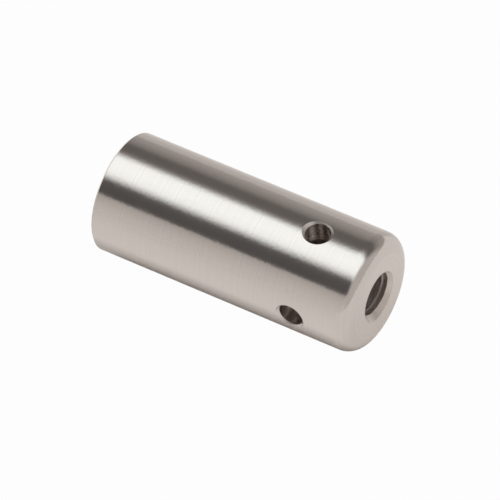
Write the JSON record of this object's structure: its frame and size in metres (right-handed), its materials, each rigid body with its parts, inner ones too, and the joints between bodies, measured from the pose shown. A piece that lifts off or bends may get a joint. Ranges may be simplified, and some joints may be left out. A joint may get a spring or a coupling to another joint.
{
  "type": "rigid sleeve shaft coupling",
  "caption": "Rigid stainless sleeve coupling: plain shaft seat with set screws at one end, tapped socket and cross holes at the rounded other end.",
  "frame": {"origin": "centre of the shaft seat's mouth, on the sleeve's axis at the tail face", "axes": "+X along the sleeve's axis from the tail to the rounded nose; +Z and -Y through the two cross-hole mouths seen from the front; the set screws stand towards +Y and -Z"},
  "size_m": [0.0448, 0.019, 0.019],
  "materials": {
    "sleeve_steel": "fine turned stainless steel",
    "screw_steel": "plain rolled stainless steel",
    "tip_brass": "plain turned brass"
  },
  "bodies": {
    "sleeve": {"sleeve": "sleeve_steel"},
    "tip_1": {"set_screw_tip_1": "tip_brass"},
    "screw_1": {"set_screw_1": "screw_steel"},
    "tip_2": {"set_screw_tip_2": "tip_brass"},
    "screw_2": {"set_screw_2": "screw_steel"}
  },
  "joints": [
    {"name": "screw_1_feed", "type": "slide", "parent": "sleeve", "child": "tip_1", "axis": [0, 1, 0], "range_m": [-0.00119, 0.00158]},
    {"name": "screw_1_turn", "type": "hinge", "parent": "tip_1", "child": "screw_1", "pos_m": [0.00953, 0, 0], "axis": [0, 1, 0], "range_deg": [-540, 720]},
    {"name": "screw_2_feed", "type": "slide", "parent": "sleeve", "child": "tip_2", "axis": [0, 0, -1], "range_m": [-0.00119, 0.00158]},
    {"name": "screw_2_turn", "type": "hinge", "parent": "tip_2", "child": "screw_2", "pos_m": [0.00953, 0, 0], "axis": [0, 0, -1], "range_deg": [-540, 720]}
  ],
  "couplings": [
    {"joint": "screw_1_turn", "follows": "screw_1_feed", "rad_per_m": 7915.8},
    {"joint": "screw_2_turn", "follows": "screw_2_feed", "rad_per_m": 7915.8}
  ]
}
